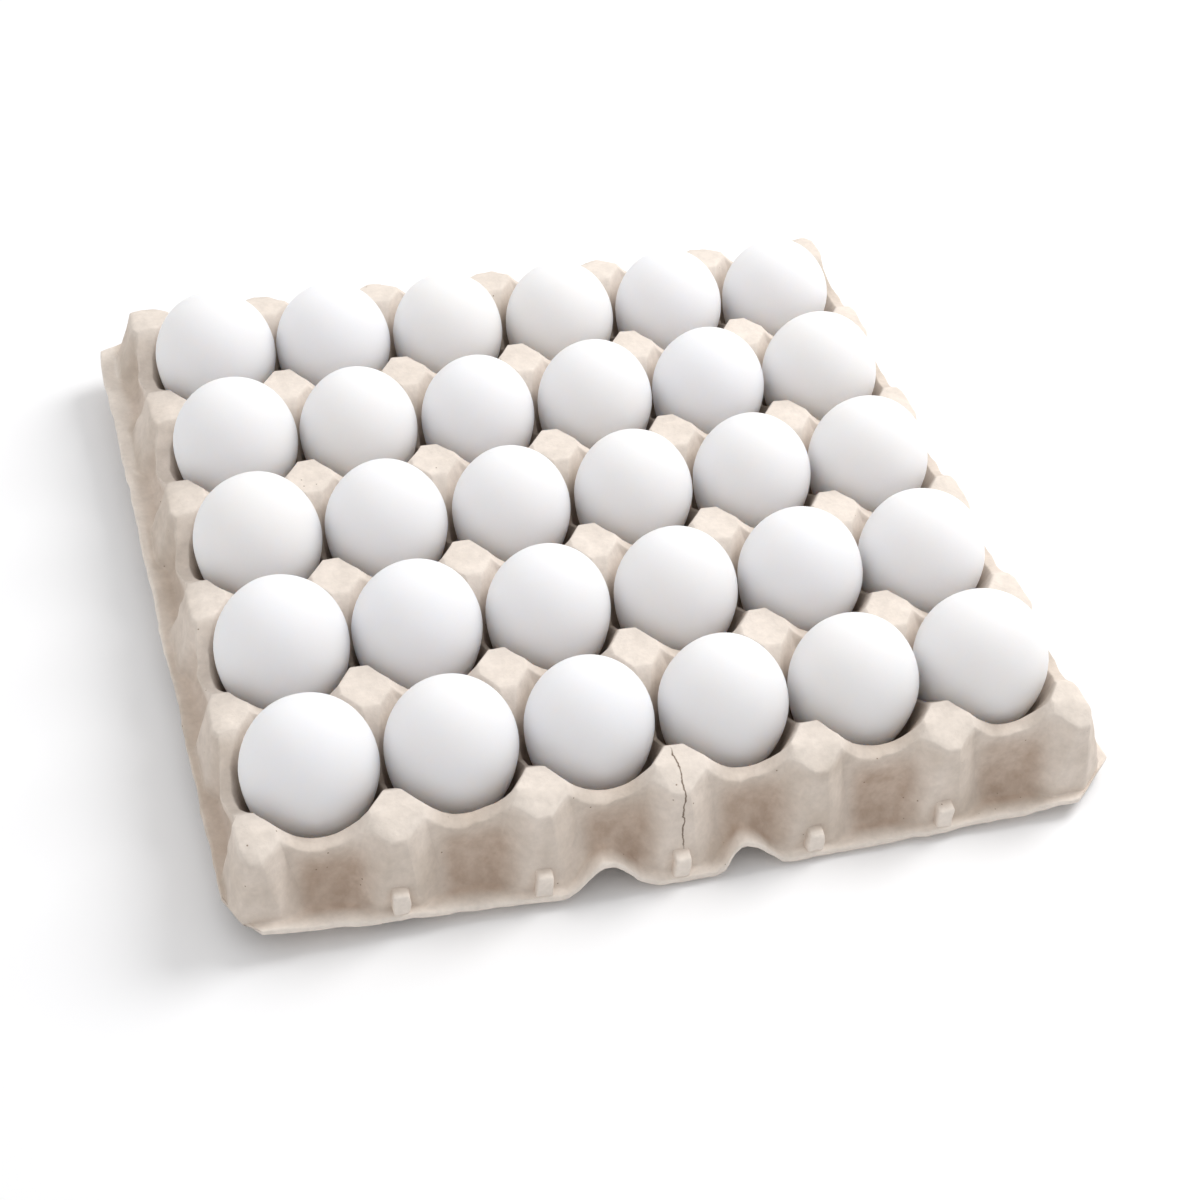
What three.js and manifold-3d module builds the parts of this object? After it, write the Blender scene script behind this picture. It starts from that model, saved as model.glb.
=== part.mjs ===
// A moulded pulp egg tray, five rows of six cups, with its thirty white eggs.
// Millimetres, +Z up. X runs along a row, Y runs from the front row to the back row.
// The origin is on the table, under the middle of the tray.
import * as THREE from "three";
import Module from "manifold-3d";

const wasm = await Module();
wasm.setup();

// Driving dimensions of the tray
const COLUMNS = 6;
const ROWS = 5;
const CELL_X = 45;
const CELL_Y = 54;
const TRAY_SIDE = 300;
const HALF_X = CELL_X / 2;
const HALF_Y = CELL_Y / 2;
const POST_LINE = 135;
const RIM_OUT = TRAY_SIDE / 2 - POST_LINE;

// One face of the pulp: the upper face holds the eggs, the lower face is seen from under the tray.
// postX and postY are the half diagonals of a post's flat top, and flatX and flatY the half lengths
// of its two kinds of blunt corner. A ridge runs between two posts and dips to its saddle.
const UPPER = {
  post: 39,
  postX: 8.0,
  postY: 8.9,
  flatX: 2.1,
  flatY: 3.0,
  rowSaddle: 30,
  rowLedge: 2.7,
  columnSaddle: 23,
  columnLedge: 0.9,
  shoulder: 29.2,
  shoulderLedge: 0.6,
  endSaddle: 30,
  endLedge: 1.6,
  endShoulder: 34.4,
  endShoulderLedge: 1.3,
  kneeRadius: 19.6,
  knee: 17.2,
  floorRadius: 8.3,
  floor: 2.5,
};
const LOWER = {
  post: 36.7,
  postX: 6.5,
  postY: 7.4,
  flatX: 1.5,
  flatY: 2.1,
  rowSaddle: 27.4,
  rowLedge: 1.3,
  columnSaddle: 18.4,
  columnLedge: 0.3,
  shoulder: 25.6,
  shoulderLedge: 0.3,
  endSaddle: 27.4,
  endLedge: 0.6,
  endShoulder: 31.4,
  endShoulderLedge: 0.6,
  kneeRadius: 21.8,
  knee: 16.4,
  floorRadius: 9.2,
  floor: 0,
};

// The ridge at the left and right ends of the tray bows out past the line of its posts.
const END_BOW = 3.4;
const END_SHOULDER_BOW = 2.1;
const SHOULDER_AT = 9;

// The outer wall, from the outer half of each post and saddle down to the foot and out to the rim.
// Each pair is [along the side from the post's middle, out from the line of the posts].
const LONG_SIDE = {
  pitch: CELL_X,
  bays: COLUMNS,
  faceTop: { along: 2.6, out: 9.4, height: 35.3 },
  flankTop: { along: 9.2, out: 2.6, height: 37.2 },
  saddleTop: { out: 3.0, height: 30 },
  cornerTop: { along: -2.0, out: 8.9, height: 35.5 },
  faceFoot: { along: 6.5, out: 11 },
  flankFoot: { along: 15.5, out: 9.2 },
  saddleFoot: { out: 9.0 },
  cornerFoot: { along: -5, out: 11 },
  bowOut: 1.6,
  bowDown: 5.6,
};
const SHORT_SIDE = {
  pitch: CELL_Y,
  bays: ROWS,
  faceTop: { along: 6.5, out: 4.4, height: 37.8 },
  flankTop: { along: 9.4, out: 3.0, height: 38.2 },
  shoulderTop: { along: HALF_Y - SHOULDER_AT, out: 4.4, height: 34.4 },
  saddleTop: { out: 6.0, height: 30 },
  cornerTop: { along: -3.5, out: 4.4, height: 37.8 },
  faceFoot: { along: 9, out: 11.2 },
  flankFoot: { along: 15, out: 8.2 },
  shoulderFoot: { along: HALF_Y - SHOULDER_AT, out: 7.8 },
  saddleFoot: { out: 7.6 },
  cornerFoot: { along: -4, out: 11.2 },
  bowOut: 0,
  bowDown: 0,
};
const FOOT_ABOVE_RIM = 0.3;
const FOOT_SAG_SHARE = 0.8;
const PULP = 2.2;
const INNER_TOP = { out: 1.7, down: 2.5 };
const INNER_FOOT_OUT = 2.5;

// Two arches in the front rim and two in the back rim let fingers in under the tray. Each rises
// to its peak by a squared cosine, and the rim is drawn in by a little at the peak.
const ARCHES = [
  { bay: 2, peak: 108.5, beside: 114.5, before: 14, after: 17.5 },
  { bay: 3, peak: 154.5, beside: 160, before: 10, after: 17 },
];
const ARCH_LIFT = 10.5;
const ARCH_RECESS = 2;
const ARCH_FOOT_OUT = 5.2;

// A small block stands at the foot of every post along the front and the back. Its base hangs
// below the rim's top by the drop, and follows most of the rim's sag.
const LUG = { width: 6, height: 9.6, out: 3, back: 4, drop: 0.6, sagShare: 0.85 };
const LUG_SECTION = { sunk: 1, frontDrop: 2, bevel: 0.8 };

// Width of every egg across its widest ring, front row first, left to right
const EGG_WIDTHS = [
  [43.7, 42.8, 42.2, 42.6, 43.1, 45.0],
  [44.6, 43.6, 42.6, 42.6, 43.4, 44.2],
  [44.3, 43.0, 42.1, 42.6, 43.0, 44.0],
  [44.8, 43.2, 42.3, 43.2, 42.8, 44.0],
  [45.0, 43.6, 42.6, 42.3, 42.4, 42.2],
];
const EGG_MEAN_WIDTH = 43.2;
const EGG_LOWER_LENGTH = 31.7;
const EGG_UPPER_LENGTH = 24.4;
const EGG_TAPER = 0.06;
const EGG_GAP = 0.4;
const EGG_SIDES = 14;
const EGG_LATITUDES = [-90, -62, -32, 0, 28, 58, 90];

// A mesh under construction: corners are shared by their place, and faces are kept as triples.
class Shell {
  constructor() {
    this.corners = [];
    this.faces = [];
    this.index = new Map();
  }

  corner(point) {
    const key = point.map((value) => Math.round(value * 1000)).join(",");
    if (!this.index.has(key)) {
      this.index.set(key, this.corners.length);
      this.corners.push(point);
    }
    return this.index.get(key);
  }

  // Adds one triangle, turned round where it belongs to a face that looks down.
  triangle(a, b, c, turned = false) {
    const [i, j, k] = [this.corner(a), this.corner(b), this.corner(c)];
    if (i !== j && j !== k && k !== i) this.faces.push(turned ? [i, k, j] : [i, j, k]);
  }

  // Fills the strip between two lines that run side by side. The line that is further behind,
  // by its key, moves on first. The first line lies to the left of the direction of travel.
  strip(left, right, turned = false) {
    let i = 0;
    let j = 0;
    while (i < left.length - 1 || j < right.length - 1) {
      const nextLeft = i < left.length - 1 ? left[i + 1].key : Infinity;
      const nextRight = j < right.length - 1 ? right[j + 1].key : Infinity;
      if (nextRight <= nextLeft) {
        this.triangle(left[i].at, right[j].at, right[j + 1].at, turned);
        j += 1;
      } else {
        this.triangle(left[i].at, right[j].at, left[i + 1].at, turned);
        i += 1;
      }
    }
  }

  geometry() {
    const made = new THREE.BufferGeometry();
    made.setAttribute("position", new THREE.Float32BufferAttribute(this.corners.flat(), 3));
    made.setIndex(this.faces.flat());
    return made;
  }
}

// The quarter of a cup's ring lines between the +X side and the +Y side of its cell.
// Each entry has the point on the cell's edge and the point where the cup wall starts.
function quarter(face, atEnd) {
  const saddle = atEnd
    ? [HALF_X + END_BOW, face.endSaddle, face.endLedge]
    : [HALF_X, face.columnSaddle, face.columnLedge];
  const shoulder = atEnd
    ? [HALF_X + END_SHOULDER_BOW, face.endShoulder, face.endShoulderLedge]
    : [HALF_X, face.shoulder, face.shoulderLedge];
  const nearX = HALF_Y - face.postY;
  const nearY = HALF_X - face.postX;
  return [
    { edge: [saddle[0], 0, saddle[1]], wall: [saddle[0] - saddle[2], 0, saddle[1]] },
    {
      edge: [shoulder[0], SHOULDER_AT, shoulder[1]],
      wall: [shoulder[0] - shoulder[2], SHOULDER_AT, shoulder[1]],
    },
    { edge: [HALF_X, nearX, face.post], wall: [HALF_X - face.flatY, nearX, face.post] },
    { edge: [HALF_X, HALF_Y, face.post], wall: null },
    { edge: [nearY, HALF_Y, face.post], wall: [nearY, HALF_Y - face.flatX, face.post] },
    { edge: [0, HALF_Y, face.rowSaddle], wall: [0, HALF_Y - face.rowLedge, face.rowSaddle] },
  ];
}

// A full ring of the cup, made from the quarter by mirror images, in order round the axis.
const QUARTER_STEPS = 5;

function ringLines(face, endSign) {
  const edge = [];
  const wall = [];
  const quarters = [
    [1, 1],
    [-1, 1],
    [-1, -1],
    [1, -1],
  ];
  quarters.forEach(([sx, sy], turn) => {
    const points = quarter(face, sx === endSign);
    const ordered = sx * sy > 0 ? points : [...points].reverse();
    ordered.slice(0, -1).forEach((point, step) => {
      const place = ([x, y, z]) => [sx * x, sy * y, z];
      const key = turn * QUARTER_STEPS + step;
      edge.push({ at: place(point.edge), key });
      if (point.wall) wall.push({ at: place(point.wall), key });
    });
  });
  edge.push({ at: edge[0].at, key: quarters.length * QUARTER_STEPS });
  wall.push({ at: wall[0].at, key: quarters.length * QUARTER_STEPS });
  return { edge, wall };
}

function circle(radius, height, keys) {
  return keys.map((key, step) => {
    const angle = (2 * Math.PI * step) / (keys.length - 1);
    return { at: [radius * Math.cos(angle), radius * Math.sin(angle), height], key };
  });
}

// One cup of one face: the post quarters and ridges at its edge, its wall, its cone and its floor.
function addCup(shell, face, column, row, turned) {
  const middle = [(column - (COLUMNS - 1) / 2) * CELL_X, (row - (ROWS - 1) / 2) * CELL_Y];
  const endSign = column === 0 ? -1 : column === COLUMNS - 1 ? 1 : 0;
  const { edge, wall } = ringLines(face, endSign);
  const keys = wall.map((point) => point.key);
  const knee = circle(face.kneeRadius, face.knee, keys);
  const floor = circle(face.floorRadius, face.floor, keys);
  const move = (line) =>
    line.map(({ at, key }) => ({ at: [at[0] + middle[0], at[1] + middle[1], at[2]], key }));
  const lines = [edge, wall, knee, floor].map(move);
  for (let ring = 0; ring < lines.length - 1; ring += 1) {
    shell.strip(lines[ring + 1], lines[ring], turned);
  }
  const centre = [...middle, face.floor];
  lines[3].slice(0, -1).forEach((point, step) => {
    shell.triangle(centre, point.at, lines[3][step + 1].at, turned);
  });
}

// The four sides in order round the tray, as functions from [along, out, height] to a point.
// "along" starts at the side's first corner post and runs anticlockwise seen from above.
// The dried sheet has warped. Each pair is for a side's first and last corner: how far out the
// rim reaches, the height of its top, how far it runs on past the corner post, and how far the
// wall's top edge leans out. "lean" moves the posts' outer halves along the side.
const SIDES = [
  {
    form: LONG_SIDE,
    rimOut: [15, 15],
    rimTop: [12, 7.2],
    runOn: [0, 1.5],
    topOut: [0, 0],
    lean: -1.5,
    place: (a, o, z) => [a - POST_LINE, -POST_LINE - o, z],
  },
  {
    form: SHORT_SIDE,
    rimOut: [20, 16],
    rimTop: [7.2, 10],
    runOn: [0, 0],
    topOut: [0, 0],
    lean: 0,
    place: (a, o, z) => [POST_LINE + o, a - POST_LINE, z],
  },
  {
    form: LONG_SIDE,
    rimOut: [15.7, 14.1],
    rimTop: [10, 18],
    runOn: [0, 9],
    topOut: [0, 0],
    lean: 0,
    place: (a, o, z) => [POST_LINE - a, POST_LINE + o, z],
  },
  {
    form: SHORT_SIDE,
    rimOut: [20, 10],
    rimTop: [18, 12],
    runOn: [9, 0],
    topOut: [2.1, -0.4],
    lean: 0,
    place: (a, o, z) => [-POST_LINE - o, POST_LINE - a, z],
  },
];
const FOOT_SHARE = 0.6;

// How far the rim of a long side bows, from 0 at its ends to 1 at its middle.
function bow(along) {
  return Math.max(0, 1 - (along / POST_LINE - 1) ** 2);
}

// A value that changes evenly along a side, from its first corner post to its last.
function between([first, last], along) {
  return first + (last - first) * THREE.MathUtils.clamp(along / (2 * POST_LINE), 0, 1);
}

// How much of an arch's full height the rim has at a distance along a side, from 0 to 1.
function archShare(along) {
  const shares = ARCHES.map(({ peak, before, after }) => {
    const reach = along < peak ? before : after;
    const way = Math.min(1, Math.abs(along - peak) / reach);
    return Math.cos((way * Math.PI) / 2) ** 2;
  });
  return Math.max(...shares);
}

// The columns of one side's outer wall: top edge, foot and rim of each, for the upper face.
function wallColumns(side) {
  const { form } = side;
  const columns = [];
  const length = form.pitch * form.bays;
  const add = (top, foot, rimAlong = foot.along) => {
    const fromEnd = THREE.MathUtils.clamp(Math.min(foot.along, length - foot.along), 0, CELL_X);
    const lean = (side.lean * fromEnd) / CELL_X;
    const sag = bow(foot.along);
    const arch = form === LONG_SIDE ? archShare(foot.along + lean) : 0;
    const reach = between(side.rimOut, foot.along) - RIM_OUT;
    const rimTop = between(side.rimTop, foot.along) + ARCH_LIFT * arch;
    const bowed = form.bowOut * sag;
    columns.push({
      top: [top.along + lean, top.out + between(side.topOut, top.along), top.height],
      foot: [
        foot.along + lean,
        foot.out + FOOT_SHARE * reach + bowed,
        rimTop + FOOT_ABOVE_RIM - form.bowDown * sag * FOOT_SAG_SHARE,
      ],
      rim: [
        rimAlong + lean,
        RIM_OUT + reach + bowed - ARCH_RECESS * arch,
        rimTop - form.bowDown * sag,
      ],
    });
  };
  const mirrored = (point, origin, sign) => ({ ...point, along: origin + sign * point.along });
  for (let post = 0; post <= form.bays; post += 1) {
    const origin = post * form.pitch;
    const put = (top, foot, sign) =>
      add(mirrored(top, origin, sign), mirrored(foot, origin, sign));
    const parts = [
      [form.faceTop, form.faceFoot],
      [form.flankTop, form.flankFoot],
    ];
    if (form.shoulderTop) parts.push([form.shoulderTop, form.shoulderFoot]);
    if (post === 0) add(form.cornerTop, form.cornerFoot, -side.runOn[0]);
    if (post > 0) [...parts].reverse().forEach(([top, foot]) => put(top, foot, -1));
    if (post > 0 && post < form.bays) {
      put({ ...form.faceTop, along: 0 }, { ...form.faceFoot, along: 0 }, 1);
    }
    if (post < form.bays) {
      parts.forEach(([top, foot]) => put(top, foot, 1));
      const arch = form === LONG_SIDE ? ARCHES.find(({ bay }) => bay === post) : undefined;
      const middles = arch
        ? [arch.peak - side.lean, arch.beside - side.lean]
        : [origin + form.pitch / 2];
      const out = arch ? ARCH_FOOT_OUT : form.saddleFoot.out;
      middles.forEach((along) => add({ ...form.saddleTop, along }, { along, out }));
    }
    if (post === form.bays) {
      const top = mirrored(form.cornerTop, length, -1);
      add(top, mirrored(form.cornerFoot, length, -1), length + side.runOn[1]);
    }
  }
  return columns;
}

// The same columns for the lower face, a wall's thickness inside the upper one.
function lowerColumns(columns) {
  return columns.map(({ top, foot, rim }) => ({
    top: [top[0], top[1] - INNER_TOP.out, top[2] - INNER_TOP.down],
    foot: [foot[0], foot[1] - INNER_FOOT_OUT, foot[2] - PULP],
    rim: [rim[0], rim[1], rim[2] - PULP],
  }));
}

// The points of the line of posts along one side, from corner post to corner post.
function postLine(face, form) {
  const points = [];
  for (let post = 0; post <= form.bays; post += 1) {
    const origin = post * form.pitch;
    const put = (along, out, height) => {
      points.push({ key: origin + along, at: [origin + along, out, height] });
    };
    if (form === LONG_SIDE) {
      if (post > 0) put(-face.postX, 0, face.post);
      put(0, 0, face.post);
      if (post < form.bays) {
        put(face.postX, 0, face.post);
        put(form.pitch / 2, 0, face.rowSaddle);
      }
    } else {
      const shoulder = HALF_Y - SHOULDER_AT;
      if (post > 0) {
        put(-shoulder, END_SHOULDER_BOW, face.endShoulder);
        put(-face.postY, 0, face.post);
      }
      put(0, 0, face.post);
      if (post < form.bays) {
        put(face.postY, 0, face.post);
        put(shoulder, END_SHOULDER_BOW, face.endShoulder);
        put(form.pitch / 2, END_BOW, face.endSaddle);
      }
    }
  }
  return points;
}

// The outer wall of one face. It returns the line of the rim, closed round the tray.
function addOuterWall(shell, face, turned) {
  const rim = [];
  const corners = [];
  SIDES.forEach((side) => {
    const { form, place } = side;
    const upper = wallColumns(side);
    const columns = turned ? lowerColumns(upper) : upper;
    const line = (name) =>
      columns.map((column, step) => ({
        at: place(...column[name]),
        key: name === "top" ? column.top[0] : step,
      }));
    const posts = postLine(face, form).map(({ key, at }) => ({ key, at: place(...at) }));
    const top = line("top");
    const topSteps = top.map(({ at }, step) => ({ at, key: step }));
    shell.strip(posts, top, turned);
    shell.strip(topSteps, line("foot"), turned);
    shell.strip(line("foot"), line("rim"), turned);
    rim.push(...line("rim").map(({ at }) => at));
    const ends = [columns[0], columns[columns.length - 1]];
    corners.push(ends.map((column) => ["top", "foot", "rim"].map((name) => place(...column[name]))));
    corners[corners.length - 1].push(place(0, 0, face.post));
  });
  corners.forEach(([start], side) => {
    const before = corners[(side + 3) % 4][1];
    const middle = corners[side][2];
    shell.triangle(middle, before[0], start[0], turned);
    for (let level = 0; level < 2; level += 1) {
      shell.triangle(before[level], before[level + 1], start[level + 1], turned);
      shell.triangle(before[level], start[level + 1], start[level], turned);
    }
  });
  return rim;
}

// A closed geometry as a solid, and a solid back as a geometry.
function solidOf(geometry) {
  const vertProperties = new Float32Array(geometry.getAttribute("position").array);
  const triVerts = new Uint32Array(geometry.index.array);
  return new wasm.Manifold(new wasm.Mesh({ numProp: 3, vertProperties, triVerts }));
}

function geometryOf(solid) {
  const mesh = solid.getMesh();
  const made = new THREE.BufferGeometry();
  made.setAttribute("position", new THREE.BufferAttribute(mesh.vertProperties, 3));
  made.setIndex(new THREE.BufferAttribute(mesh.triVerts, 1));
  made.computeVertexNormals();
  return made;
}

// A lug: a block with a lower front edge than back edge, sunk into the wall behind it.
function lugGeometry(along, side) {
  const shell = new Shell();
  const sag = bow(along);
  const front = LONG_SIDE.faceFoot.out + LUG.out + LONG_SIDE.bowOut * sag;
  const back = front - LUG.out - LUG.back;
  const base = between(side.rimTop, along) - LUG.drop - LONG_SIDE.bowDown * sag * LUG.sagShare;
  const top = base + LUG.height;
  const section = [
    [front, base - LUG_SECTION.sunk],
    [front, top - LUG_SECTION.frontDrop],
    [front - LUG_SECTION.bevel, top],
    [back, top],
    [back, base - LUG_SECTION.sunk],
  ];
  const ring = (a) => section.map(([out, height]) => side.place(a, out, height));
  const left = ring(along + side.lean - LUG.width / 2);
  const right = ring(along + side.lean + LUG.width / 2);
  for (let step = 0; step < section.length; step += 1) {
    const next = (step + 1) % section.length;
    shell.triangle(left[step], right[step], right[next]);
    shell.triangle(left[step], right[next], left[next]);
  }
  for (let step = 1; step < section.length - 1; step += 1) {
    shell.triangle(left[0], left[step], left[step + 1]);
    shell.triangle(right[0], right[step + 1], right[step]);
  }
  return shell.geometry();
}

// The tray: both faces of the pulp, joined round the rim, with the lugs added.
function trayGeometry() {
  const shell = new Shell();
  for (const [face, turned] of [[UPPER, false], [LOWER, true]]) {
    for (let row = 0; row < ROWS; row += 1) {
      for (let column = 0; column < COLUMNS; column += 1) addCup(shell, face, column, row, turned);
    }
  }
  const rimTop = addOuterWall(shell, UPPER, false);
  const rimBottom = addOuterWall(shell, LOWER, true);
  rimTop.forEach((point, step) => {
    const next = (step + 1) % rimTop.length;
    shell.triangle(point, rimBottom[step], rimBottom[next]);
    shell.triangle(point, rimBottom[next], rimTop[next]);
  });
  let tray = solidOf(shell.geometry());
  for (const side of [SIDES[0], SIDES[2]]) {
    for (let post = 1; post < COLUMNS; post += 1) {
      tray = tray.add(solidOf(lugGeometry(post * CELL_X, side)));
    }
  }
  return geometryOf(tray);
}

// An egg, blunt end up, on its own axis with its widest ring at height 0. Below the widest ring
// the half ellipse is drawn in a little towards the point.
function eggGeometry(width, lowerLength, upperLength) {
  const profile = EGG_LATITUDES.map((degrees) => {
    const angle = THREE.MathUtils.degToRad(degrees);
    const down = Math.max(0, -Math.sin(angle));
    const length = degrees < 0 ? lowerLength : upperLength;
    const atEnd = Math.abs(degrees) === 90;
    const radius = atEnd ? 0 : (width / 2) * Math.cos(angle) * (1 - EGG_TAPER * down);
    return new THREE.Vector2(radius, length * Math.sin(angle));
  });
  return new THREE.LatheGeometry(profile, EGG_SIDES).rotateX(Math.PI / 2);
}

// The height of an egg's widest ring where its lower half, taken as a plain half ellipse,
// stands the gap clear of the cone of its cup.
function seatHeight(width, lowerLength) {
  const slope = (UPPER.knee - UPPER.floor) / (UPPER.kneeRadius - UPPER.floorRadius);
  const reach = Math.hypot((width / 2) * slope, lowerLength);
  return reach - slope * UPPER.floorRadius + UPPER.floor + EGG_GAP * Math.hypot(slope, 1);
}

const pulp = new THREE.MeshStandardMaterial({ color: 0xcbbdaf, roughness: 0.95, metalness: 0 });
const eggshell = new THREE.MeshStandardMaterial({ color: 0xf4f2ee, roughness: 0.55, metalness: 0 });

const eggTray = new THREE.Group();
const tray = new THREE.Mesh(trayGeometry(), pulp);
tray.name = "tray";
eggTray.add(tray);

EGG_WIDTHS.forEach((widths, row) => {
  widths.forEach((width, column) => {
    const size = Math.sqrt(width / EGG_MEAN_WIDTH);
    const lowerLength = EGG_LOWER_LENGTH * size;
    const shape = eggGeometry(width, lowerLength, EGG_UPPER_LENGTH * size);
    const egg = new THREE.Mesh(shape, eggshell.clone());
    egg.name = `egg_${row + 1}_${column + 1}`;
    egg.position.set(
      (column - (COLUMNS - 1) / 2) * CELL_X,
      (row - (ROWS - 1) / 2) * CELL_Y,
      seatHeight(width, lowerLength),
    );
    egg.rotation.z = (row * COLUMNS + column) * 1.1;
    eggTray.add(egg);
  });
});

export default eggTray;
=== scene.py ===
import math

import bpy
import numpy as np
from mathutils import Matrix, Vector


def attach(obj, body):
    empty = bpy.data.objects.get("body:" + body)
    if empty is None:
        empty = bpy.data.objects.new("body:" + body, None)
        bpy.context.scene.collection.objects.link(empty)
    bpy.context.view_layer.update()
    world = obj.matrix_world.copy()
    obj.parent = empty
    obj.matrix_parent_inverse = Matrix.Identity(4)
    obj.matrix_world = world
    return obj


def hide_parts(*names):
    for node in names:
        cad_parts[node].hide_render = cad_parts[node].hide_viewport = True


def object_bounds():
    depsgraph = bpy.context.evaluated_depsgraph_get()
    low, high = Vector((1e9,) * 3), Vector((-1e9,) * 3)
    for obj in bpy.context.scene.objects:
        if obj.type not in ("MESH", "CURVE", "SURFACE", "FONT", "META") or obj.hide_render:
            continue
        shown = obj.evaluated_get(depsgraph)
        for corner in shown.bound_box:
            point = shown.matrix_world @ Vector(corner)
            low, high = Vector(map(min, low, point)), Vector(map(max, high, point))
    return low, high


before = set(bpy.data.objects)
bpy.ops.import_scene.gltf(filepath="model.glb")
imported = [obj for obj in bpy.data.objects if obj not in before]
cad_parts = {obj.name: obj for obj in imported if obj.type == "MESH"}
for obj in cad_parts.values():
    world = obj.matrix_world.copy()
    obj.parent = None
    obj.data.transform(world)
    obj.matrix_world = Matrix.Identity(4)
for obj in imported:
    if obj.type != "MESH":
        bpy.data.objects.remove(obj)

cad_box = [list(map(float, corner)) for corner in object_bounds()]


# The viewpoint
# A camera at the front left of the tray, looking down on it at about 43 degrees, turned a few
# degrees about its own line of sight so that the far side of the tray leans to the right.
CAMERA_PLACE = Vector((-0.1673, -0.5563, 0.5263))
CAMERA_TARGET = Vector((-0.0040, -0.0525, 0.0345))
CAMERA_ROLL = math.radians(4.24)
CAMERA_LENS_MM = 63.74
SENSOR_MM = 36.0

sight = (CAMERA_TARGET - CAMERA_PLACE).normalized()
level_right = sight.cross(Vector((0, 0, 1))).normalized()
level_up = level_right.cross(sight)
right = level_right * math.cos(CAMERA_ROLL) + level_up * math.sin(CAMERA_ROLL)
up = level_up * math.cos(CAMERA_ROLL) - level_right * math.sin(CAMERA_ROLL)
camera_data = bpy.data.cameras.new("viewpoint")
camera_data.lens = CAMERA_LENS_MM
camera_data.sensor_width = SENSOR_MM
camera_data.clip_start = 0.01
camera = bpy.data.objects.new("viewpoint", camera_data)
turn = Matrix((right, up, -sight)).transposed()
camera.matrix_world = Matrix.Translation(CAMERA_PLACE) @ turn.to_4x4()
bpy.context.scene.collection.objects.link(camera)
bpy.context.scene.camera = camera


# The studio
# A white table top that runs on to a white room, which is brightest above the tray and dims
# evenly away from there, and one large soft light high at the right, so that shadows fall left.
def hex_to_linear(text):
    """Turns an sRGB colour such as #d9cdc2 into linear red, green, blue and an alpha of 1."""
    channels = np.array([int(text[i : i + 2], 16) for i in (1, 3, 5)]) / 255
    linear = np.where(channels <= 0.04045, channels / 12.92, ((channels + 0.055) / 1.055) ** 2.4)
    return (*map(float, linear), 1.0)


def add_node(tree, kind, inputs=None, **settings):
    """Adds one node. Settings are its own properties, and inputs gives a socket's name or number
    either a plain value or the output socket of another node, which is then linked."""
    made = tree.nodes.new(kind)
    for name, value in settings.items():
        setattr(made, name, value)
    for name, value in (inputs or {}).items():
        if isinstance(value, bpy.types.NodeSocket):
            tree.links.new(value, made.inputs[name])
        else:
            made.inputs[name].default_value = value
    return made


def new_material(name):
    """Makes an empty node material and returns it with its tree."""
    made = bpy.data.materials.new(name)
    made.use_nodes = True
    made.node_tree.nodes.clear()
    return made, made.node_tree


ROOM_COLOUR = "#ffffff"
ROOM_BRIGHT = 0.95
ROOM_DIM = 0.27
ROOM_BRIGHT_SIDE = (-0.3, 0.12, 0.94)
ROOM_DIM_FROM = -0.3
TABLE_COLOUR = "#f9f9fa"
TABLE_HALF_SIDE = 4.0
KEY_PLACE = Vector((1.15, 0.42, 1.3))
KEY_SIZE = 0.95
KEY_WATTS = 19

scene = bpy.context.scene
scene.view_settings.view_transform = "Standard"
world = bpy.data.worlds.new("white_room")
scene.world = world
world.use_nodes = True
tree = world.node_tree
tree.nodes.clear()
direction = add_node(tree, "ShaderNodeTexCoord").outputs["Generated"]
towards = add_node(
    tree,
    "ShaderNodeVectorMath",
    {0: direction, 1: ROOM_BRIGHT_SIDE},
    operation="DOT_PRODUCT",
).outputs["Value"]
strength = add_node(
    tree,
    "ShaderNodeMapRange",
    {
        "Value": towards,
        "From Min": ROOM_DIM_FROM,
        "From Max": 1.0,
        "To Min": ROOM_DIM,
        "To Max": ROOM_BRIGHT,
    },
).outputs[0]
room = add_node(
    tree, "ShaderNodeBackground", {"Color": hex_to_linear(ROOM_COLOUR), "Strength": strength}
)
add_node(tree, "ShaderNodeOutputWorld", {"Surface": room.outputs[0]})

key_data = bpy.data.lights.new("key_light", "AREA")
key_data.shape = "DISK"
key_data.size = KEY_SIZE
key_data.energy = KEY_WATTS
key = bpy.data.objects.new("key_light", key_data)
key.location = KEY_PLACE
key.rotation_euler = (-KEY_PLACE).to_track_quat("-Z", "Y").to_euler()
scene.collection.objects.link(key)

table_mesh = bpy.data.meshes.new("table_top")
side = TABLE_HALF_SIDE
table_mesh.from_pydata(
    [(-side, -side, 0), (side, -side, 0), (side, side, 0), (-side, side, 0)], [], [(0, 1, 2, 3)]
)
table_top = bpy.data.objects.new("table_top", table_mesh)
scene.collection.objects.link(table_top)
table_paint, tree = new_material("table_matt_paint")
shader = add_node(
    tree,
    "ShaderNodeBsdfPrincipled",
    {"Base Color": hex_to_linear(TABLE_COLOUR), "Roughness": 0.6, "Specular IOR Level": 0.2},
)
add_node(tree, "ShaderNodeOutputMaterial", {"Surface": shader.outputs[0]})
table_mesh.materials.append(table_paint)


# The pulp tray
# One sheet of moulded paper pulp, about 2 mm thick: wet fibre sucked on to a mesh mould and
# dried. Thirty cups stand in a grid; at each crossing of the grid a hollow post rises to a flat
# diamond top, and low ridges join the posts. Round the outside the wall flares out to a rim.
MM = 0.001
COLUMNS = 6
ROWS = 5

# Sizes are in millimetres: the cells of the grid, how far the outer posts stand from the tray's
# middle, and the rim from them. The ridges at the tray's left and right end bow out, by so much
# at their middles and at their shoulders, which are so far from there.
CELL_X = 45.0
CELL_Y = 54.0
HALF_X = CELL_X / 2
HALF_Y = CELL_Y / 2
POST_LINE = 135.0
RIM_OUT = 15.0
END_BOW = 3.4
END_SHOULDER_BOW = 2.1
SHOULDER_AT = 9.0

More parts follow.
